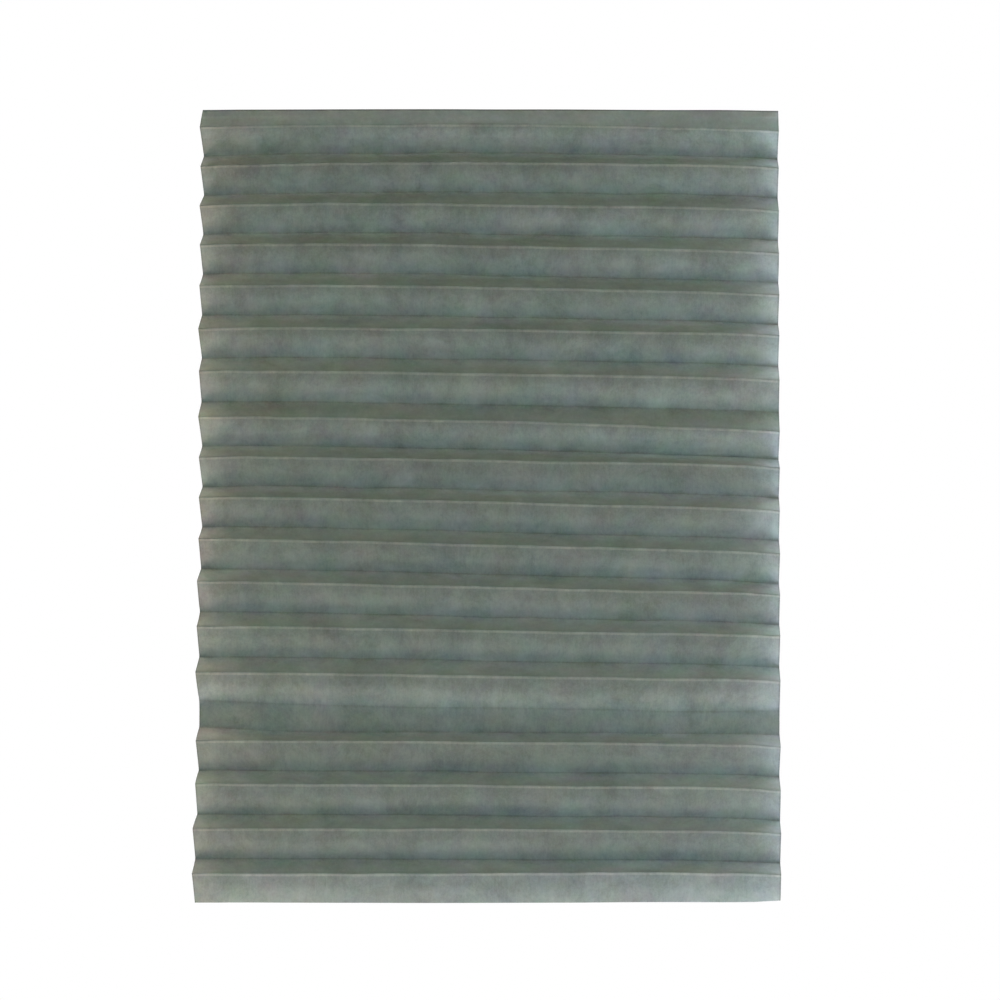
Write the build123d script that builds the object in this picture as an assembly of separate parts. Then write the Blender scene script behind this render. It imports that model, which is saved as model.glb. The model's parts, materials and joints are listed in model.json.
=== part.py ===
from build123d import *
import math
import os

# Stick-on pleated shade: one accordion-folded sheet of stiff nonwoven cloth,
# hung by a self-adhesive strip behind its top edge.
# Millimetres. X runs along the pleats, -Y is the room side, +Z is up.
# The origin is the centre of the adhesive face, where the shade is fixed.

# ---- driving dimensions -------------------------------------------------
sheet_width = 914.4          # cut width of the shade, along the pleats
sheet_thickness = 0.4        # nonwoven cloth
face_width = 50.8            # crease to crease, measured along the cloth
top_edge_depth = 26.0        # how far the top edge stands behind the front creases
bottom_edge_depth = 28.0     # the same for the bottom edge
band_height = 20.0           # part of the top face that the strip keeps flat

strip_length = 906.0
strip_height = 19.0
strip_thickness = 0.8
strip_stands_proud = 0.8     # the strip's upper edge shows this far above the cloth

# Drop of each front crease below the middle of the top edge, at the left end,
# the middle and the right end. The pleats fan a little: they hang lower at the
# right end, most of all in the middle of the drop, and the pitch is uneven.
front_crease_drop = [
    (43.0, 38.5, 50.0),
    (110.0, 104.0, 111.5),
    (176.5, 175.5, 185.0),
    (244.5, 246.0, 259.0),
    (313.0, 317.0, 330.0),
    (386.0, 389.0, 399.0),
    (459.5, 464.5, 474.5),
    (537.5, 545.0, 562.5),
    (605.5, 611.0, 622.5),
    (673.0, 682.0, 696.0),
    (743.0, 753.5, 768.5),
    (814.5, 825.0, 838.0),
    (890.0, 897.5, 907.0),
    (967.0, 974.0, 981.5),
    (1082.0, 1084.5, 1091.0),
    (1154.0, 1157.0, 1163.5),
    (1228.0, 1230.0, 1235.5),
    (1304.5, 1302.5, 1303.5),
]
top_edge_drop = (1.5, 2.25, 3.0)
bottom_edge_drop = (1341.0, 1342.0, 1338.5)

# One pleat is missing its front crease: the cloth turns down the back plane in
# a short upright face there, between two back creases.
odd_pleat = 14               # it lies below this front crease
odd_upper_drop = (1001.0, 1016.0, 1020.0)
odd_upper_depth = (36.0, 31.0, 33.0)
odd_lower_drop = (1047.0, 1054.5, 1057.5)
odd_lower_depth = (36.5, 38.5, 37.5)

# The ends were cut with the pleats gathered, so each cut slants through the
# depth and leans a little over the drop: (x at the top, x at the bottom) of the
# front creases, and how far inwards the cut has come at the back creases.
left_end = (-0.5 * sheet_width + 2.0, -0.5 * sheet_width - 1.2)
right_end = (0.5 * sheet_width + 2.0, 0.5 * sheet_width - 1.8)
left_slant = 5.0
right_slant = 1.2
pleat_depth = 36.5           # usual depth, front crease to back crease
drop_length = 1342.0

stations = (-470.0, -235.0, 0.0, 235.0, 470.0)   # where the section is drawn
half = 0.5 * sheet_width


def along(values, x):
    """A smooth curve through the left, middle and right values."""
    a, b, c = values
    t = x / half
    return b + 0.5 * (c - a) * t + 0.5 * (a + c - 2.0 * b) * t * t


def section(x):
    """The folds, top to bottom, as (depth behind the front creases, height)."""
    front = [-along(d, x) for d in front_crease_drop]
    top = (top_edge_depth, -(top_edge_drop[1] + 0.5 * (top_edge_drop[2] - top_edge_drop[0]) * x / half))
    lean = math.atan2(top_edge_depth, 36.25)
    band = (top[0] - band_height * math.sin(lean), top[1] - band_height * math.cos(lean))
    line = [top, band]
    for i, z in enumerate(front):
        line.append((0.0, z))
        if i + 1 == len(front):
            break
        if i + 1 == odd_pleat:
            line.append((along(odd_upper_depth, x), -along(odd_upper_drop, x)))
            line.append((along(odd_lower_depth, x), -along(odd_lower_drop, x)))
        else:
            rise = 0.5 * (z - front[i + 1])
            line.append((math.sqrt(face_width**2 - rise**2), z - rise))
    line.append((bottom_edge_depth, -along(bottom_edge_drop, x)))
    return line


def offset_line(line, gap):
    """The same folds moved to the rear side by gap, with mitred corners."""
    normals = []
    for (y0, z0), (y1, z1) in zip(line, line[1:]):
        length = math.hypot(y1 - y0, z1 - z0)
        normals.append((-(z1 - z0) / length, (y1 - y0) / length))
    moved = []
    for i, (y, z) in enumerate(line):
        a = normals[max(i - 1, 0)]
        b = normals[min(i, len(normals) - 1)]
        scale = gap / (1.0 + a[0] * b[0] + a[1] * b[1])
        moved.append((y + (a[0] + b[0]) * scale, z + (a[1] + b[1]) * scale))
    return moved


def sheet_face(x):
    """The cloth's cut section in the plane of one station."""
    line = section(x)
    outer = offset_line(line, -0.5 * sheet_thickness)
    inner = offset_line(line, 0.5 * sheet_thickness)
    points = [Vector(x, y, z) for y, z in outer + inner[::-1]]
    return Face(Wire.make_polygon(points, close=True))


# ---- the folded sheet ---------------------------------------------------
blank = Solid.make_loft([sheet_face(x).outer_wire() for x in stations], ruled=True)


def end_plane(ends, slant, side):
    """The plane of one cut end. Its normal points away from the shade."""
    top_point = Vector(ends[0], 0.0, 0.0)
    down = Vector(ends[1], 0.0, -drop_length) - top_point
    back = Vector(-side * slant, pleat_depth, 0.0)
    normal = down.cross(back)
    if normal.X * side < 0:
        normal = normal * -1.0
    return Plane(origin=top_point, z_dir=normal)


pleated_sheet = split(blank, bisect_by=end_plane(left_end, left_slant, -1), keep=Keep.BOTTOM)
pleated_sheet = split(pleated_sheet, bisect_by=end_plane(right_end, right_slant, 1), keep=Keep.BOTTOM)

# ---- the adhesive strip -------------------------------------------------
# It lies on the rear side of the top face, flat against the cloth.
left_top = section(-half)[0]
right_top = section(half)[0]
middle = section(0.0)
run = (Vector(half, right_top[0], right_top[1]) - Vector(-half, left_top[0], left_top[1])).normalized()
down_face = Vector(0, middle[1][0] - middle[0][0], middle[1][1] - middle[0][1]).normalized()
rear = run.cross(down_face).normalized()
if rear.Y < 0:
    rear = rear * -1.0
down_face = rear.cross(run).normalized()
if down_face.Z > 0:
    down_face = down_face * -1.0
edge_x = 0.5 * (left_end[0] + right_end[0])
edge_middle = Vector(edge_x, section(edge_x)[0][0], section(edge_x)[0][1])
strip_centre = (
    edge_middle
    + down_face * (0.5 * strip_height - strip_stands_proud)
    + rear * (0.5 * sheet_thickness + 0.5 * strip_thickness)
)
strip_plane = Plane(origin=strip_centre, x_dir=run, z_dir=rear)
mounting_strip = strip_plane * Box(strip_length, strip_height, strip_thickness)

# ---- into the shade's own frame -----------------------------------------
adhesive_centre = strip_centre + rear * (0.5 * strip_thickness)
home = Location((-adhesive_centre.X, -adhesive_centre.Y, -adhesive_centre.Z))

os.makedirs("parts", exist_ok=True)
nodes = {"pleated_sheet": pleated_sheet, "mounting_strip": mounting_strip}
for name, shape in nodes.items():
    solids = [s.moved(home) for s in shape.solids()]
    export_step(solids[0] if len(solids) == 1 else Compound(children=solids), f"parts/{name}.step")
    print(name, len(solids), "solid(s)", round(sum(s.volume for s in solids) / 1000.0, 2), "cm3")

widths = [math.dist(a, b) for a, b in zip(section(0.0), section(0.0)[1:])]
print("flat length, mm", round(sum(widths), 1), "faces", len(widths) - 1)
print("adhesive face normal", round(rear.X, 6), round(rear.Y, 6), round(rear.Z, 6))
print("front creases at y", round(-adhesive_centre.Y, 3), "top edge middle at z", round(-adhesive_centre.Z, 3), "x shift", round(-adhesive_centre.X, 3))
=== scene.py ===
import json
import math

import bpy
import numpy as np
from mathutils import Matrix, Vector


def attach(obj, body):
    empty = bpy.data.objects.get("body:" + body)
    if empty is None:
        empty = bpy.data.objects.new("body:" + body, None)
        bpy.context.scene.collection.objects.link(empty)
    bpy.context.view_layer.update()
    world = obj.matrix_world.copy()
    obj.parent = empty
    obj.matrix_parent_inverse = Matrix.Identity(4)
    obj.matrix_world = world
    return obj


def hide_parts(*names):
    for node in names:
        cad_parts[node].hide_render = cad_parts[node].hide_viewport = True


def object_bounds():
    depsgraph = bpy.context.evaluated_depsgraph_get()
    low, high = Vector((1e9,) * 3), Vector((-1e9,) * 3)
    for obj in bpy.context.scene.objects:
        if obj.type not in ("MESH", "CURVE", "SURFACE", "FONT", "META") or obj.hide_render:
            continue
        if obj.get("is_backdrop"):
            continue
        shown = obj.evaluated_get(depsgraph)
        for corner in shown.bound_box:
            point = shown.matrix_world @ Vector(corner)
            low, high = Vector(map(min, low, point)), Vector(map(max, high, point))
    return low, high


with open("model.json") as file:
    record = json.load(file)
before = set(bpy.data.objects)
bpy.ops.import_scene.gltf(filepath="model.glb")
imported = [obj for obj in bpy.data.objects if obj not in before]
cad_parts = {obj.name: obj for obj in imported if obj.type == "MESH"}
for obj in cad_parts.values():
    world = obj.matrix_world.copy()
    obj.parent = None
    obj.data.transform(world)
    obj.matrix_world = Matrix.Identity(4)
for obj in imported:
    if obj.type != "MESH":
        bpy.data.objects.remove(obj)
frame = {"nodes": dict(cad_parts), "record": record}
cad_lo, cad_hi = (Vector(v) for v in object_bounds())
scene = bpy.context.scene

# ------------------------------------------------------------------ shape --
# Millimetres in the drawing frame of the CAD: front creases at y = 0, the
# middle of the top edge at z = 0. HOME takes it to the row frame.
HOME = np.array([-1.987, -21.742, 9.906])
SHEET_T = 0.4
FACE = 50.8
KNOTS = np.array([-435.1, -277.0, -120.5, 36.0, 192.5, 349.0, 436.7])

# How far each front crease hangs below the middle of the top edge.
FRONT = np.array([
    (42.4, 39.1, 38.5, 38.3, 41.4, 46.0, 49.5),
    (109.6, 105.5, 103.9, 104.3, 105.7, 108.2, 111.3),
    (176.9, 174.1, 174.1, 176.5, 178.6, 180.6, 184.6),
    (244.5, 243.1, 244.3, 246.9, 250.3, 254.4, 258.3),
    (313.2, 313.5, 315.2, 318.3, 321.7, 325.4, 329.5),
    (386.8, 385.4, 388.2, 389.7, 393.1, 395.5, 398.4),
    (459.6, 460.3, 462.7, 465.1, 467.8, 471.3, 474.1),
    (537.5, 539.2, 542.4, 546.2, 551.4, 557.2, 561.6),
    (605.8, 606.3, 609.0, 611.9, 615.3, 618.8, 622.2),
    (673.7, 675.4, 679.1, 683.2, 687.4, 691.3, 695.5),
    (743.5, 746.4, 750.8, 755.2, 759.2, 763.9, 768.3),
    (814.9, 818.3, 822.5, 826.2, 830.2, 834.2, 837.6),
    (890.7, 892.2, 895.4, 899.0, 901.6, 904.1, 906.6),
    (967.4, 969.6, 972.4, 975.1, 977.1, 979.1, 982.0),
    (1082.0, 1083.0, 1083.5, 1085.2, 1086.5, 1088.8, 1091.0),
    (1154.0, 1155.3, 1156.1, 1158.0, 1159.3, 1160.6, 1164.3),
    (1227.8, 1229.0, 1229.1, 1230.1, 1231.6, 1232.9, 1235.9),
    (1303.6, 1303.9, 1303.3, 1302.6, 1302.1, 1302.3, 1304.2),
])
TOP_X = (-457, -431, -399, -336, -241, -177, -51, 12, 76, 171, 266, 361, 392, 424, 456)
TOP_Z = (-4.0, -3.3, -2.2, -1.6, -0.7, -0.2, 0.2, 0.0, 0.0, -1.0, -2.2, -3.3, -4.1, -5.3, -5.9)
BOTTOM_X = (-457, -422, -360, -236, -80, 20, 137, 199, 331, 385, 416, 447, 457)
BOTTOM_Z = (1340.2, 1340.8, 1340.9, 1341.9, 1341.9, 1341.8, 1341.3, 1340.9, 1340.6, 1340.6, 1340.1, 1337.6, 1336.8)
# The pleat whose front crease is missing: two back creases, one above the other.
ODD = 14
ODD_UPPER = (1001.5, 1010.0, 1014.5, 1016.3, 1019.0, 1021.6, 1019.3)
ODD_LOWER = (1046.6, 1052.6, 1053.3, 1054.2, 1055.0, 1056.4, 1056.9)
ODD_UPPER_DEPTH = (36.0, 33.5, 31.5, 31.0, 31.5, 32.5, 33.0)
ODD_LOWER_DEPTH = (36.5, 37.8, 38.3, 38.5, 38.3, 37.8, 37.5)
# Where the two cut ends lie at each front crease.
LEFT_Z = (0, 42, 111, 178, 245, 315, 387, 460, 536, 606, 675, 744, 815, 890, 967, 1086, 1156, 1231, 1302, 1342)
LEFT_X = (-454.6, -455.4, -453.9, -454.4, -454.5, -454.6, -455.4, -454.4, -454.3, -453.2, -452.3, -453.1, -454.2, -454.8, -455.6, -454.4, -455.0, -458.4, -459.3, -458.6)
RIGHT_Z = (0, 300, 640, 1000, 1342)
RIGHT_X = (459.4, 458.4, 457.2, 455.8, 455.0)


def smooth_curve(x, xs, ys):
    """A natural cubic spline through the points, straight on past the ends."""
    xs, ys = np.asarray(xs, float), np.asarray(ys, float)
    n = len(xs)
    h = np.diff(xs)
    a = np.zeros((n, n))
    b = np.zeros(n)
    a[0, 0] = a[-1, -1] = 1
    for i in range(1, n - 1):
        a[i, i - 1], a[i, i], a[i, i + 1] = h[i - 1], 2 * (h[i - 1] + h[i]), h[i]
        b[i] = 6 * ((ys[i + 1] - ys[i]) / h[i] - (ys[i] - ys[i - 1]) / h[i - 1])
    m = np.linalg.solve(a, b)
    x = np.asarray(x, float)
    k = np.clip(np.searchsorted(xs, x) - 1, 0, n - 2)
    u, v, hk = xs[k + 1] - x, x - xs[k], h[k]
    inside = (m[k] * u**3 + m[k + 1] * v**3) / (6 * hk) + (ys[k] / hk - m[k] * hk / 6) * u + (ys[k + 1] / hk - m[k + 1] * hk / 6) * v
    s0 = (ys[1] - ys[0]) / h[0] - h[0] * m[1] / 6
    s1 = (ys[-1] - ys[-2]) / h[-1] + h[-1] * m[-2] / 6
    return np.where(x < xs[0], ys[0] + s0 * (x - xs[0]), np.where(x > xs[-1], ys[-1] + s1 * (x - xs[-1]), inside))


def wander(x, seed, length, size):
    """Smooth seeded noise along x, with the given wavelength and height."""
    r = np.random.default_rng(seed)
    knots = r.normal(size=int(1400 / length) + 6)
    p = (np.asarray(x, float) + 700) / length
    i = np.floor(p).astype(int)
    f = p - i
    f = f * f * (3 - 2 * f)
    return size * (knots[i] * (1 - f) + knots[i + 1] * f)


def field(x, y, seed, lx, ly, size):
    """The same over a surface: x and y are arrays of one shape, in millimetres."""
    r = np.random.default_rng(seed)
    g = r.normal(size=(int(1400 / lx) + 6, int(2400 / ly) + 6))
    p, q = (x + 700) / lx, (y + 100) / ly
    i, j = np.floor(p).astype(int), np.floor(q).astype(int)
    f, k = p - i, q - j
    f, k = f * f * (3 - 2 * f), k * k * (3 - 2 * k)
    return size * ((g[i, j] * (1 - f) + g[i + 1, j] * f) * (1 - k) + (g[i, j + 1] * (1 - f) + g[i + 1, j + 1] * f) * k)


COLUMNS = 135
share = np.linspace(0.0, 1.0, COLUMNS)
nominal = -457.2 + 914.4 * share

# Corner points of the folds, column by column: depth and height.
corner_y, corner_z, kinds = [], [], []


def corner(kind, depth, drop):
    corner_y.append(depth * np.ones(COLUMNS))
    corner_z.append(-drop * np.ones(COLUMNS))
    kinds.append(kind)


front_z = [smooth_curve(nominal, KNOTS, f) for f in FRONT]
for i in range(len(front_z)):
    front_z[i] = front_z[i] + wander(nominal, 100 + i, 55, 0.32) + wander(nominal, 140 + i, 17, 0.16)
top_z = np.interp(nominal, TOP_X, TOP_Z)
corner("edge", 26.0 + wander(nominal, 3, 120, 0.5), 0.8 - top_z)
for i, z in enumerate(front_z):
    depth = wander(nominal, 200 + i, 140, 0.55) + wander(nominal, 240 + i, 30, 0.18)
    corner("front", depth, z)
    if i + 1 == len(front_z):
        break
    if i + 1 == ODD:
        corner("back", smooth_curve(nominal, KNOTS, ODD_UPPER_DEPTH), smooth_curve(nominal, KNOTS, ODD_UPPER) + wander(nominal, 71, 60, 0.4))
        corner("back", smooth_curve(nominal, KNOTS, ODD_LOWER_DEPTH), smooth_curve(nominal, KNOTS, ODD_LOWER) + wander(nominal, 72, 60, 0.4))
    else:
        rise = 0.5 * (front_z[i + 1] - z)
        corner("back", np.sqrt(FACE**2 - rise**2) + wander(nominal, 300 + i, 150, 0.4), z + rise + wander(nominal, 340 + i, 70, 0.45))
corner("edge", 28.0 + wander(nominal, 4, 120, 0.5), np.interp(nominal, BOTTOM_X, BOTTOM_Z))
corner_y, corner_z = np.array(corner_y), np.array(corner_z)
N = len(kinds)

# Rows: each fold is a small arc, each face a gently bowed strip.
ARC = {"front": 0.8, "back": 3.6, "edge": 0.0}
ACROSS = 7
rows_y, rows_z, rows_s, row_front, row_back, row_side = [], [], [], [], [], []
face_len = np.hypot(np.diff(corner_y, axis=0), np.diff(corner_z, axis=0))
start_s = np.concatenate([np.zeros((1, COLUMNS)), np.cumsum(face_len, axis=0)])


def add_row(y, z, s, d_front, d_back, side):
    rows_y.append(y)
    rows_z.append(z)
    rows_s.append(s)
    row_front.append(d_front * np.ones(COLUMNS))
    row_back.append(d_back * np.ones(COLUMNS))
    row_side.append(side * np.ones(COLUMNS))


def distances(face, d):
    """How far a point is from the nearest front crease and the nearest back crease."""
    above, below, whole = kinds[face], kinds[face + 1], face_len[face]
    to_front = np.full(COLUMNS, 60.0)
    to_back = np.full(COLUMNS, 60.0)
    for kind, dist in ((above, d), (below, whole - d)):
        if kind == "front":
            to_front = np.minimum(to_front, dist)
        elif kind == "back":
            to_back = np.minimum(to_back, dist)
    return to_front, to_back


for face in range(N - 1):
    y0, z0, y1, z1 = corner_y[face], corner_z[face], corner_y[face + 1], corner_z[face + 1]
    whole = face_len[face]
    a, b = ARC[kinds[face]], ARC[kinds[face + 1]]
    # A face that recedes as it goes down faces the floor on its room side.
    side = 1.0 if kinds[face] == "front" else (-1.0 if kinds[face + 1] == "front" else 0.35)
    if kinds[face] == "edge":
        side = -1.0
    bow = 0.35 + wander(nominal, 400 + face, 200, 0.45)
    ny, nz = -(z1 - z0) / whole, (y1 - y0) / whole
    inner = np.linspace(0, 1, ACROSS + 2)
    # Rows stand closer together beside the folds.
    inner = inner - 0.105 * np.sin(2 * np.pi * inner)
    for k, t in enumerate(inner):
        d = a + (whole - a - b) * t
        u = d / whole
        rise = 4 * u * (1 - u)
        s = start_s[face] + d
        lift = bow * rise * side
        lift = lift + (field(nominal, s, 900, 46, 21, 0.20) + field(nominal, s, 901, 120, 60, 0.30)) * rise
        f, bk = distances(face, d)
        add_row(y0 + (y1 - y0) * u + ny * lift, z0 + (z1 - z0) * u + nz * lift, s, f, bk, side)
    if kinds[face + 1] != "edge":
        # the middle of the fold's arc
        y2, z2 = corner_y[face + 2], corner_z[face + 2]
        r = ARC[kinds[face + 1]]
        w2 = face_len[face + 1]
        py, pz = y1 + (y0 - y1) * r / whole, z1 + (z0 - z1) * r / whole
        qy, qz = y1 + (y2 - y1) * r / w2, z1 + (z2 - z1) * r / w2
        is_front = kinds[face + 1] == "front"
        add_row(
            0.25 * py + 0.5 * y1 + 0.25 * qy,
            0.25 * pz + 0.5 * z1 + 0.25 * qz,
            start_s[face + 1],
            0.0 if is_front else FACE,
            FACE if is_front else 0.0,
            0.0,
        )
Y, Z, S = np.array(rows_y), np.array(rows_z), np.array(rows_s)
D_FRONT, D_BACK, SIDE = np.array(row_front), np.array(row_back), np.array(row_side)
ROWS = len(Y)

# Across the sheet: the two cut ends, slanted through the depth, not quite straight.
left = np.interp(-Z[:, 0], LEFT_Z, LEFT_X) + 5.1 * np.clip(Y[:, 0], -3, 45) / 36.5
right = np.interp(-Z[:, -1], RIGHT_Z, RIGHT_X) - 1.2 * np.clip(Y[:, -1], -3, 45) / 36.5
left = left + wander(Z[:, 0], 51, 35, 0.25)
right = right + wander(Z[:, -1], 52, 35, 0.25)
X = left[:, None] + (right - left)[:, None] * share[None, :]

# The cut ends curl back a little, more on the right.
curl_l = np.clip((X - left[:, None]) / 70.0, 0, 1)
curl_r = np.clip((right[:, None] - X) / 60.0, 0, 1)
hold = np.clip((S - 20.0) / 90.0, 0, 1)
hold = hold * hold * (3 - 2 * hold)        # none where the tape holds the cloth flat
Y = Y + (2.2 * (1 - curl_l) ** 2 + 2.6 * (1 - curl_r) ** 2) * hold

# The front creases were pressed hard, and stand out as a thin pinched lip.
Y = Y - 0.35 * np.clip(1 - D_FRONT / 4.2, 0, 1) ** 2

points = np.stack([X, Y, Z], axis=2)

# The tape's own box, in the row frame: n points from the cloth to the wall.
n_wall = np.array(next(m["axis"] for m in frame["record"]["mounts"] if m["name"] == "adhesive_face"), float)
n_wall /= np.linalg.norm(n_wall)
tape_points = np.array([v.co for v in frame["nodes"]["mounting_strip"].data.vertices], float) * 1000.0
cloth_side = (tape_points @ n_wall).min()
flat = np.clip((43.0 - S) / 19.0, 0, 1)
flat = flat * flat * (3 - 2 * flat)
gap = cloth_side - 0.5 * SHEET_T - 0.03 - (points + HOME) @ n_wall
points = points + n_wall * (gap * flat)[:, :, None]
du = np.gradient(points, axis=1)
dv = np.gradient(points, axis=0)
normal = np.cross(du, dv)
normal /= np.linalg.norm(normal, axis=2, keepdims=True)
if normal[:, :, 1].mean() > 0:
    normal = -normal                       # towards the room


def grid_faces(rows, cols, base, flip):
    r, c = np.meshgrid(np.arange(rows - 1), np.arange(cols - 1), indexing="ij")
    a = base + r * cols + c
    quad = np.stack([a, a + 1, a + cols + 1, a + cols], axis=2).reshape(-1, 4)
    return quad[:, ::-1] if flip else quad


def make_mesh(name, coords, faces, uv, attributes, sharp_from=None):
    me = bpy.data.meshes.new(name)
    me.vertices.add(len(coords))
    me.vertices.foreach_set("co", (np.asarray(coords) / 1000.0).astype(np.float32).ravel())
    me.loops.add(len(faces) * 4)
    me.loops.foreach_set("vertex_index", faces.astype(np.int32).ravel())
    me.polygons.add(len(faces))
    me.polygons.foreach_set("loop_start", np.arange(0, len(faces) * 4, 4, dtype=np.int32))
    me.update(calc_edges=True)
    me.validate()
    layer = me.uv_layers.new(name="cloth")
    layer.uv.foreach_set("vector", uv[faces.ravel()].astype(np.float32).ravel())
    for key, values in attributes.items():
        att = me.attributes.new(key, "FLOAT", "POINT")
        att.data.foreach_set("value", values.astype(np.float32).ravel())
    me.polygons.foreach_set("use_smooth", np.ones(len(me.polygons), bool))
    me.update()
    ob = bpy.data.objects.new(name, me)
    scene.collection.objects.link(ob)
    return ob


half = 0.5 * SHEET_T
front_skin = points + normal * half + HOME
rear_skin = points - normal * half + HOME
coords = np.concatenate([front_skin.reshape(-1, 3), rear_skin.reshape(-1, 3)])
n = ROWS * COLUMNS
faces_f = grid_faces(ROWS, COLUMNS, 0, False)
p = coords[faces_f[500]]
if np.dot(np.cross(p[1] - p[0], p[2] - p[1]), normal.reshape(-1, 3)[faces_f[500][0]]) < 0:
    faces_f = faces_f[:, ::-1]
    faces_r = grid_faces(ROWS, COLUMNS, n, False)
else:
    faces_r = grid_faces(ROWS, COLUMNS, n, True)
ring = np.concatenate([
    np.arange(COLUMNS),
    np.arange(1, ROWS) * COLUMNS + COLUMNS - 1,
    (ROWS - 1) * COLUMNS + np.arange(COLUMNS - 2, -1, -1),
    np.arange(ROWS - 2, 0, -1) * COLUMNS,
])
nxt = np.roll(ring, -1)
rim = np.stack([ring, nxt, nxt + n, ring + n], axis=1)
q = coords[rim[10]]
middle = points.reshape(-1, 3).mean(0) + HOME
if np.dot(np.cross(q[1] - q[0], q[2] - q[1]), q[0] - middle) < 0:
    rim = rim[:, ::-1]
faces = np.concatenate([faces_f, faces_r, rim])
uv = np.stack([(X + 460) / 1000.0, S / 1000.0], axis=2).reshape(-1, 2)
uv = np.concatenate([uv, uv])
ends_off = np.minimum(X - left[:, None], right[:, None] - X)
atts = {
    "d_end": np.concatenate([ends_off.ravel()] * 2),
    "d_front": np.concatenate([D_FRONT.ravel()] * 2),
    "d_back": np.concatenate([D_BACK.ravel()] * 2),
    "side": np.concatenate([SIDE.ravel(), -SIDE.ravel()]),
}
sheet = make_mesh("folded_sheet", coords, faces, uv, atts)
# The cut edge is square, so its shading doesn't run into the two skins.
pairs = np.empty(len(sheet.data.edges) * 2, np.int32)
sheet.data.edges.foreach_get("vertices", pairs)
pairs = np.sort(pairs.reshape(-1, 2), axis=1)
border = np.concatenate([np.stack([ring, nxt], axis=1), np.stack([ring + n, nxt + n], axis=1)])
border = np.sort(border, axis=1)
is_border = np.isin(pairs[:, 0].astype(np.int64) * len(coords) + pairs[:, 1], border[:, 0].astype(np.int64) * len(coords) + border[:, 1])
sheet.data.attributes.new("sharp_edge", "BOOLEAN", "EDGE").data.foreach_set("value", is_border)
sheet.data.update()

# --------------------------------------------------------------- materials --


def srgb(r, g, b):
    def lin(c):
        c /= 255.0
        return c / 12.92 if c <= 0.04045 else ((c + 0.055) / 1.055) ** 2.4
    return (lin(r), lin(g), lin(b), 1.0)


class Nodes:
    """Short names for building a node tree."""

    def __init__(self, name):
        self.mat = bpy.data.materials.new(name)
        self.mat.use_nodes = True
        self.tree = self.mat.node_tree
        self.tree.nodes.clear()

    def add(self, kind, **settings):
        node = self.tree.nodes.new(kind)
        for key, value in settings.items():
            setattr(node, key, value)
        return node

    def put(self, node, socket, value):
        target = node.inputs[socket]
        if isinstance(value, bpy.types.NodeSocket):
            self.tree.links.new(value, target)
        else:
            target.default_value = value

    def math(self, op, a, b=0.0, c=None, clamp=False):
        node = self.add("ShaderNodeMath", operation=op, use_clamp=clamp)
        self.put(node, 0, a)
        self.put(node, 1, b)
        if c is not None:
            self.put(node, 2, c)
        return node.outputs[0]

    def ramp(self, value, low, high, to_low=0.0, to_high=1.0, smooth=True):
        node = self.add("ShaderNodeMapRange", interpolation_type="SMOOTHSTEP" if smooth else "LINEAR", clamp=True)
        for key, v in (("Value", value), ("From Min", low), ("From Max", high), ("To Min", to_low), ("To Max", to_high)):
            self.put(node, key, v)
        return node.outputs["Result"]

    def noise(self, vector, scale, detail=2.0, rough=0.5, distortion=0.0, kind="3D"):
        node = self.add("ShaderNodeTexNoise", noise_dimensions=kind)
        self.put(node, "Vector", vector)
        for key, v in (("Scale", scale), ("Detail", detail), ("Roughness", rough), ("Distortion", distortion)):
            self.put(node, key, v)
        return node.outputs["Fac"]

    def stretch(self, vector, sx, sy, sz=1.0, turn=0.0):
        node = self.add("ShaderNodeMapping")
        self.put(node, "Vector", vector)
        node.inputs["Scale"].default_value = (sx, sy, sz)
        node.inputs["Rotation"].default_value = (0, 0, turn)
        return node.outputs["Vector"]

    def shift(self, vector, x, y):
        node = self.add("ShaderNodeMapping")
        self.put(node, "Vector", vector)
        node.inputs["Location"].default_value = (x, y, 0)
        return node.outputs["Vector"]

    def mix(self, factor, a, b, blend="MIX"):
        node = self.add("ShaderNodeMix", data_type="RGBA", blend_type=blend)
        self.put(node, 0, factor)
        self.put(node, 6, a)
        self.put(node, 7, b)
        return node.outputs[2]

    def attribute(self, name):
        return self.add("ShaderNodeAttribute", attribute_name=name).outputs["Fac"]


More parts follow.
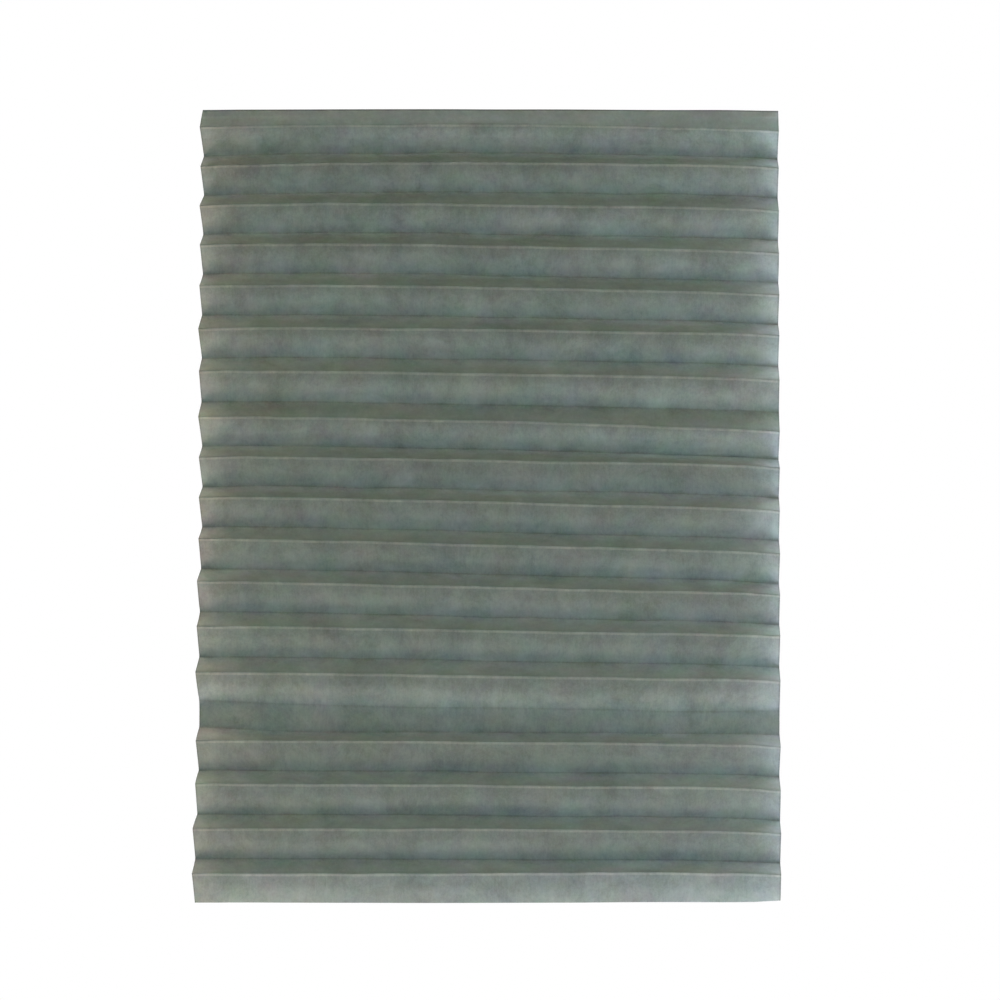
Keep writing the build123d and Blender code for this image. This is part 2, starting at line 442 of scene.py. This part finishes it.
def cloth_material():
    k = Nodes("nonwoven_cloth")
    uvm = k.add("ShaderNodeUVMap", uv_map="cloth").outputs["UV"]
    d_front, d_back, side = k.attribute("d_front"), k.attribute("d_back"), k.attribute("side")
    down_drop = k.add("ShaderNodeSeparateXYZ")
    k.put(down_drop, 0, uvm)
    from_top = down_drop.outputs["Y"]
    outward = k.ramp(side, -0.6, 0.6)

    def centred(value, amount):
        return k.math("MULTIPLY", k.math("SUBTRACT", value, 0.5), amount)

    def total(*values):
        result = values[0]
        for v in values[1:]:
            result = k.math("ADD", result, v)
        return result

    # The felt: laid fibre, uneven at every size from a hand's breadth to a hair.
    flock = k.noise(k.stretch(uvm, 13.0, 10.5), 1.0, 8.0, 0.90, 0.2)
    blotch = k.noise(k.stretch(uvm, 34, 27), 1.0, 3.0, 0.6, 0.5)
    streak = k.noise(k.stretch(uvm, 330, 48), 1.0, 3.0, 0.62)
    wisps = k.noise(k.stretch(uvm, 1900, 300, 1, 0.25), 1.0, 2.0, 0.6)
    wisps2 = k.noise(k.stretch(uvm, 1500, 260, 1, -0.5), 1.0, 2.0, 0.6)
    felt = k.noise(uvm, 900.0, 4.0, 0.65)
    tone = total(
        centred(flock, 1.35),
        centred(blotch, 0.17),
        centred(streak, 0.20),
        centred(wisps, 0.12),
        centred(wisps2, 0.10),
        centred(felt, 0.16),
    )
    # Warm and cool, and green and grey, fibre clouds.
    cast_a = centred(k.noise(k.shift(uvm, 3.7, 1.3), 15.0, 6.0, 0.84, 0.2), 0.235)
    cast_a = k.math("MULTIPLY", cast_a, k.ramp(side, -0.6, 0.6, 1.3, 1.0))
    cast_b = centred(k.noise(k.shift(uvm, 1.1, 5.9), 15.0, 6.0, 0.84, 0.2), 0.25)
    cast_b = k.math("MULTIPLY", cast_b, k.ramp(side, -0.6, 0.6, 1.75, 1.0))

    # Tone across a face, painted light and shade. The side that looks up gets a painted warm olive cast of light, in
    # clouds, and towards the back creases the side that looks down gets a painted cool blue-green cast of light.
    warm_light_cast = k.math("MULTIPLY", centred(k.noise(k.stretch(k.shift(uvm, 8.3, 2.1), 13, 9), 1.0, 4.0, 0.7, 0.2), 0.30), k.math("SUBTRACT", 1.0, outward))
    near_back = k.ramp(d_back, 2.0, 21.0, 1.0, 0.0)
    # Painted cool light: bluer and less red near a back crease on the side that looks down.
    cool = k.math("MULTIPLY", near_back, outward)
    faces_up = k.math("SUBTRACT", 1.0, outward)
    # Painted shade: the side that looks up is darker near its back crease and lighter towards its front crease.
    lift = k.ramp(d_back, 4.0, 42.0, -0.12, 0.31, smooth=False)
    tone = k.math("ADD", tone, k.math("MULTIPLY", lift, faces_up))
    # Painted shade: the side that looks down is darker within about 14 mm of a front crease, easing to a touch lighter
    # by 34 mm.
    painted_front_shade = k.math("MULTIPLY", k.ramp(d_front, 14.0, 34.0, -0.105, 0.015), outward)
    tone = k.math("ADD", tone, painted_front_shade)
    # The back crease is painted darker as shade in the groove, a little uneven, more on the side that looks up.
    groove_shade = k.ramp(d_back, 0.6, 5.5, 1.0, 0.0)
    groove_shade = k.math("MULTIPLY", groove_shade, k.ramp(k.noise(k.stretch(uvm, 30, 6), 1.0, 3.0, 0.6), 0.3, 0.7, 0.3, 1.0))
    groove_shade = k.math("MULTIPLY", groove_shade, k.ramp(side, -0.6, 0.6, 1.7, 0.3))
    tone = k.math("SUBTRACT", tone, k.math("MULTIPLY", groove_shade, 0.11))
    # Just above a front crease, on the side that looks up, runs a fine line of painted shade.
    crease_shade = k.math("MULTIPLY", k.ramp(d_front, 0.4, 5.0, 1.0, 0.0), faces_up)
    tone = k.math("SUBTRACT", tone, k.math("MULTIPLY", crease_shade, 0.10))
    # The cut ends are darker, in a band about 2 mm wide.
    cut_end = k.ramp(k.attribute("d_end"), 0.4, 2.6, 1.0, 0.0)
    tone = k.math("SUBTRACT", tone, k.math("MULTIPLY", cut_end, 0.28))
    # The top edge is cut, and a thin wavering line along it is darker.
    waver = centred(k.noise(k.stretch(uvm, 17, 0.01), 1.0, 3.0, 0.55), 0.0022)
    dark_top_line = k.ramp(k.math("ADD", from_top, waver), 0.0028, 0.0056, 1.0, 0.0)
    tone = k.math("SUBTRACT", tone, k.math("MULTIPLY", dark_top_line, 0.48))
    # The greener clouds are a little darker.
    tone = k.math("SUBTRACT", tone, k.math("MULTIPLY", cast_b, 0.4))
    bright = k.math("ADD", tone, 1.0)

    red = total(bright, warm_light_cast, k.math("MULTIPLY", cast_a, -1.0), k.math("MULTIPLY", cast_b, -0.5), k.math("MULTIPLY", cool, -0.045))
    green = total(bright, cast_b)
    blue = total(bright, cast_a, k.math("MULTIPLY", warm_light_cast, -0.3), k.math("MULTIPLY", cast_b, -0.5), k.math("MULTIPLY", cool, 0.035))
    factor = k.add("ShaderNodeCombineXYZ")
    for axis, v in (("X", red), ("Y", green), ("Z", blue)):
        k.put(factor, axis, v)

    base = k.add("ShaderNodeRGB")
    base.outputs[0].default_value = BASE
    # Front creases: a thin, uneven pale line on the lower side, partly cloth rubbed pale and partly a painted highlight
    # where the fold catches the light.
    edge = k.math("MULTIPLY", k.ramp(d_front, 0.4, 1.6), k.ramp(d_front, 3.3, 4.8, 1.0, 0.0))
    edge = k.math("MULTIPLY", edge, outward)
    uneven = k.ramp(k.noise(k.stretch(uvm, 46, 3), 1.0, 4.0, 0.7), 0.32, 0.68, 0.38, 1.0)
    rubbed_and_highlight = k.math("MULTIPLY", edge, uneven)
    colour = k.mix(k.math("MULTIPLY", rubbed_and_highlight, RUB_AND_HIGHLIGHT), base.outputs[0], srgb(190, 190, 178))
    tinted = k.add("ShaderNodeVectorMath", operation="MULTIPLY")
    k.put(tinted, 0, colour)
    k.put(tinted, 1, factor.outputs[0])
    colour = tinted.outputs[0]

    height = total(
        k.math("MULTIPLY", felt, 0.35),
        k.math("MULTIPLY", streak, 0.5),
        k.math("MULTIPLY", wisps, 0.3),
        k.math("MULTIPLY", blotch, 1.6),
    )
    bump = k.add("ShaderNodeBump")
    k.put(bump, "Height", height)
    bump.inputs["Strength"].default_value = 0.35
    bump.inputs["Distance"].default_value = 0.0006

    rough = k.ramp(felt, 0.2, 0.8, 0.80, 0.97, smooth=False)
    shader = k.add("ShaderNodeBsdfPrincipled")
    k.put(shader, "Base Color", colour)
    k.put(shader, "Roughness", rough)
    shader.inputs["Specular IOR Level"].default_value = 0.12
    shader.inputs["Sheen Weight"].default_value = 0.05
    shader.inputs["Sheen Roughness"].default_value = 0.6
    k.put(shader, "Normal", bump.outputs[0])
    glow = k.add("ShaderNodeBsdfTranslucent")
    k.put(glow, "Color", k.mix(1.0, colour, (1.667, 1.667, 1.667, 1.0), "MULTIPLY"))
    k.put(glow, "Normal", bump.outputs[0])
    mix = k.add("ShaderNodeMixShader")
    mix.inputs[0].default_value = 0.5
    k.tree.links.new(shader.outputs[0], mix.inputs[1])
    k.tree.links.new(glow.outputs[0], mix.inputs[2])
    out = k.add("ShaderNodeOutputMaterial")
    k.tree.links.new(mix.outputs[0], out.inputs["Surface"])
    return k.mat


BASE = (0.254, 0.283, 0.259, 1.0)
RUB_AND_HIGHLIGHT = 0.42
sheet.data.materials.append(cloth_material())
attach(sheet, "root")
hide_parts("pleated_sheet")

# ------------------------------------------------------------------- tape --
# A slab in the tape's own place, with soft corners and edges that waver.
corners = np.unique(tape_points.round(3), axis=0)
to_right = corners[:, 0] > corners[:, 0].mean()
run = corners[to_right].mean(0) - corners[~to_right].mean(0)
run -= n_wall * (run @ n_wall)
run /= np.linalg.norm(run)
fall = np.cross(run, n_wall)
if fall[2] > 0:
    fall = -fall
tape_mid = 0.5 * (tape_points.min(0) + tape_points.max(0))
a_half = 0.5 * np.ptp(tape_points @ run)
b_half = 0.5 * np.ptp(tape_points @ fall)
c_half = 0.5 * np.ptp(tape_points @ n_wall)
TAPE_COLUMNS, CORNER = 300, 2.2
inset = np.concatenate([CORNER * (1 - np.cos(np.linspace(0, np.pi / 2, 8)))])
along = np.concatenate([-a_half + inset, np.linspace(-a_half + CORNER, a_half - CORNER, TAPE_COLUMNS)[1:-1], a_half - inset[::-1]])
short = np.clip(CORNER - (a_half - np.abs(along)), 0, CORNER)
reach = b_half - (CORNER - np.sqrt(np.maximum(CORNER**2 - short**2, 0.0))) - 0.02
# The section: a flat slab whose edges are squashed round.
across = np.concatenate([np.linspace(-1, 1, 15), np.linspace(1, -1, 15)])
upper = np.concatenate([np.ones(15), -np.ones(15)])
bulge = np.clip(1 - ((np.abs(across) - 0.955) / 0.045).clip(0, 1) ** 2.2, 0, 1) ** 0.5
ring_pts = []
# It was laid along the cloth's own top edge, just below it.
edge_x = (points[0] + HOME - tape_mid) @ run
edge_v = (points[0] + HOME - tape_mid) @ fall
bend = np.interp(along, edge_x, edge_v) + 0.5 + b_half
for i, x in enumerate(along):
    low = wander(x, 61, 42, 0.10) + wander(x, 62, 9, 0.05)
    top = wander(x, 63, 42, 0.10) + wander(x, 64, 9, 0.05)
    v = across * reach[i] - np.where(across > 0, low, top) * np.sign(across) * 0.5 - np.sign(across) * 0.2
    thick = c_half * (0.985 - 0.05 * abs(wander(x, 65, 60, 1.0)) * (1 - across**2))
    w = np.where(upper > 0, c_half - (c_half - thick * np.maximum(bulge, 0.06)), -c_half * np.maximum(bulge, 0.06) * 0.985)
    ring_pts.append(tape_mid + run * x + np.outer(v + bend[i], fall) + np.outer(w, n_wall))
ring_pts = np.array(ring_pts)
TC, TR = ring_pts.shape[:2]
tape_coords = np.concatenate([ring_pts.reshape(-1, 3), ring_pts[0].mean(0)[None], ring_pts[-1].mean(0)[None]])
i0, j0 = np.meshgrid(np.arange(TC - 1), np.arange(TR), indexing="ij")
j1 = (j0 + 1) % TR
quads = np.stack([i0 * TR + j0, (i0 + 1) * TR + j0, (i0 + 1) * TR + j1, i0 * TR + j1], axis=2).reshape(-1, 4)
caps = []
for j in range(TR):
    caps.append((TC * TR, j, (j + 1) % TR))
    caps.append((TC * TR + 1, (TC - 1) * TR + (j + 1) % TR, (TC - 1) * TR + j))
tape_me = bpy.data.meshes.new("tape")
tape_me.from_pydata([tuple(p) for p in tape_coords / 1000.0], [], [tuple(int(q) for q in f) for f in quads] + caps)
tape_me.validate()
tape_uv = tape_me.uv_layers.new(name="tape")
flat_u = (tape_coords - tape_mid) @ run
flat_v = (tape_coords - tape_mid) @ fall
for loop in tape_me.loops:
    tape_uv.uv[loop.index].vector = (flat_u[loop.vertex_index] / 1000.0 + 0.5, flat_v[loop.vertex_index] / 1000.0 + 0.5)
import bmesh
bm = bmesh.new()
bm.from_mesh(tape_me)
bmesh.ops.recalc_face_normals(bm, faces=bm.faces)
bm.to_mesh(tape_me)
bm.free()
for poly in tape_me.polygons:
    poly.use_smooth = True
tape = bpy.data.objects.new("tape", tape_me)
scene.collection.objects.link(tape)


def tape_material():
    k = Nodes("adhesive_tape")
    uvm = k.add("ShaderNodeUVMap", uv_map="tape").outputs["UV"]
    xyz = k.add("ShaderNodeSeparateXYZ")
    k.put(xyz, 0, uvm)
    # A scrim of thin threads inside the glue, 1.6 mm apart, not quite straight.
    sway = k.noise(uvm, 55.0, 2.0, 0.5)

    def threads(coordinate, pitch):
        bent = k.math("ADD", coordinate, k.math("MULTIPLY", sway, 0.0008))
        wave = k.math("SINE", k.math("MULTIPLY", bent, 2 * math.pi / pitch))
        return k.ramp(wave, 0.72, 0.97)

    scrim = k.math("MAXIMUM", threads(xyz.outputs["X"], 0.0016), threads(xyz.outputs["Y"], 0.0016))
    smear = k.noise(k.stretch(uvm, 90, 420), 1.0, 4.0, 0.6, 0.4)
    specks = k.ramp(k.noise(uvm, 1300.0, 2.0, 0.5), 0.70, 0.78)
    colour = k.mix(k.math("MULTIPLY", scrim, 0.35), srgb(226, 224, 212), srgb(240, 240, 234))
    colour = k.mix(k.ramp(smear, 0.35, 0.75, 0.0, 0.30), colour, srgb(205, 203, 188))
    colour = k.mix(k.math("MULTIPLY", specks, 0.4), colour, srgb(150, 150, 142))
    bump = k.add("ShaderNodeBump")
    k.put(bump, "Height", k.math("ADD", k.math("MULTIPLY", scrim, 0.4), k.math("MULTIPLY", smear, 1.0)))
    bump.inputs["Strength"].default_value = 0.3
    bump.inputs["Distance"].default_value = 0.0003
    shader = k.add("ShaderNodeBsdfPrincipled")
    k.put(shader, "Base Color", colour)
    k.put(shader, "Roughness", k.ramp(smear, 0.3, 0.7, 0.28, 0.52))
    k.put(shader, "Normal", bump.outputs[0])
    glow = k.add("ShaderNodeBsdfTranslucent")
    k.put(glow, "Color", colour)
    mix = k.add("ShaderNodeMixShader")
    mix.inputs[0].default_value = 0.72
    k.tree.links.new(shader.outputs[0], mix.inputs[1])
    k.tree.links.new(glow.outputs[0], mix.inputs[2])
    out = k.add("ShaderNodeOutputMaterial")
    k.tree.links.new(mix.outputs[0], out.inputs["Surface"])
    return k.mat


tape_me.materials.append(tape_material())
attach(tape, "root")
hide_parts("mounting_strip")

# -------------------------------------------------------------------- room --
floor_me = bpy.data.meshes.new("floor")
fz = cad_lo.z - 2.4
floor_me.from_pydata([(-15, -15, fz), (15, -15, fz), (15, 15, fz), (-15, 15, fz)], [], [(0, 1, 2, 3)])
floor = bpy.data.objects.new("floor", floor_me)
scene.collection.objects.link(floor)
fm = bpy.data.materials.new("floor_paint")
fm.use_nodes = True
ft = fm.node_tree
ft.nodes.clear()
fo = ft.nodes.new("ShaderNodeOutputMaterial")
fd = ft.nodes.new("ShaderNodeBsdfDiffuse")
fd.inputs["Color"].default_value = (0.78, 0.78, 0.76, 1)
fg = ft.nodes.new("ShaderNodeNewGeometry")
fx = ft.nodes.new("ShaderNodeBsdfTransparent")
fmix = ft.nodes.new("ShaderNodeMixShader")
ft.links.new(fg.outputs["Backfacing"], fmix.inputs[0])
ft.links.new(fd.outputs[0], fmix.inputs[1])
ft.links.new(fx.outputs[0], fmix.inputs[2])
ft.links.new(fmix.outputs[0], fo.inputs["Surface"])
floor_me.materials.append(fm)
floor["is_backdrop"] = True

# ------------------------------------------------------------------ camera --
ELEVATION = math.radians(22.0)
DISTANCE = 25.0
PER_PIXEL = 0.001565                      # metres in the plane of the front creases
view_dir = Vector((0.0, math.cos(ELEVATION), math.sin(ELEVATION)))
right_dir = Vector((1.0, 0.0, 0.0))
up_dir = right_dir.cross(view_dir)
aim = Vector((HOME[0], HOME[1], HOME[2] - 688.408)) / 1000.0
cam_data = bpy.data.cameras.new("camera")
cam = bpy.data.objects.new("camera", cam_data)
scene.collection.objects.link(cam)
cam.location = aim - view_dir * DISTANCE + right_dir * (12.1 * PER_PIXEL) + up_dir * (5.6 * PER_PIXEL)
cam.rotation_mode = "QUATERNION"
cam.rotation_quaternion = view_dir.to_track_quat("-Z", "Y")
cam_data.sensor_width = 36.0
cam_data.lens = 36.0 * (DISTANCE / PER_PIXEL) / 1000.0
cam_data.clip_start, cam_data.clip_end = 0.1, 100.0
scene.camera = cam

# ------------------------------------------------------------------ lights --
centre = aim


def softbox(name, place, size, power, colour, target=None):
    data = bpy.data.lights.new(name, "AREA")
    data.shape = "RECTANGLE"
    data.size, data.size_y = size
    data.energy = power
    data.color = colour
    ob = bpy.data.objects.new(name, data)
    scene.collection.objects.link(ob)
    ob.location = place
    ob.rotation_mode = "QUATERNION"
    ob.rotation_quaternion = ((target or centre) - Vector(place)).to_track_quat("-Z", "Y")
    ob.visible_camera = False
    return ob


def around(azimuth, elevation, distance):
    """A place seen from the middle of the shade. Azimuth 0 is the room side."""
    a, e = math.radians(azimuth), math.radians(elevation)
    return centre + Vector((math.sin(a) * math.cos(e), -math.cos(a) * math.cos(e), math.sin(e))) * distance


def glow(name, place, size, rgb, target=None):
    """A softbox whose power and colour come from three watt values."""
    power = max(rgb)
    softbox(name, place, size, power, tuple(v / power for v in rgb), target)


middle = Vector((0.0, 0.0, centre.z))
glow("low_front", around(0, -70, 3.0), (2.4, 0.9), (53.0, 48.8, 46.0))
glow("front", around(0, 0, 3.0), (2.4, 0.9), (19.0, 21.4, 20.0))
glow("high_front", around(0, 40, 3.0), (2.4, 0.9), (27.5, 29.2, 23.2))
glow("high_back", around(180, 70, 3.0), (2.4, 1.1), (86.5, 79.0, 91.0))
glow("left_front", around(-50, -30, 3.0), (1.2, 1.6), (4.8, 7.6, 5.6))
glow("right_front", around(50, -30, 3.0), (1.2, 1.6), (28.0, 32.7, 36.6))
glow("left_edge", (-0.8, 0.12, centre.z), (0.25, 1.6), (13.0, 9.4, 8.2), middle)
glow("right_edge", (0.8, 0.12, centre.z), (0.25, 1.6), (9.6, 10.1, 11.9), middle)
glow("right_edge_front", (0.8, -0.12, centre.z), (0.25, 1.6), (1.9, 1.2, 1.0), middle)
glow("left_low_back", (-1.2, 0.22, centre.z - 1.1), (0.5, 1.6), (13.3, 11.1, 11.0), middle)
glow("right_low_back", (1.2, 0.22, centre.z - 1.1), (0.5, 1.6), (26.7, 28.0, 38.6), middle)
glow("right_high", (0.9, 0.15, centre.z + 0.8), (0.4, 0.6), (4.6, 4.9, 6.5), Vector((0.3, 0.0, centre.z + 0.3)))

world = bpy.data.worlds.new("studio")
scene.world = world
world.use_nodes = True
wt = world.node_tree
wt.nodes.clear()
w_out = wt.nodes.new("ShaderNodeOutputWorld")
w_soft = wt.nodes.new("ShaderNodeBackground")
w_soft.inputs["Color"].default_value = (1, 1, 1, 1)
w_soft.inputs["Strength"].default_value = 0.02
w_seen = wt.nodes.new("ShaderNodeBackground")
w_seen.inputs["Color"].default_value = (1, 1, 1, 1)
w_seen.inputs["Strength"].default_value = 1.0
w_path = wt.nodes.new("ShaderNodeLightPath")
w_mix = wt.nodes.new("ShaderNodeMixShader")
wt.links.new(w_path.outputs["Is Camera Ray"], w_mix.inputs[0])
wt.links.new(w_soft.outputs[0], w_mix.inputs[1])
wt.links.new(w_seen.outputs[0], w_mix.inputs[2])
wt.links.new(w_mix.outputs[0], w_out.inputs["Surface"])

scene.view_settings.view_transform = "Standard"
scene.view_settings.look = "None"
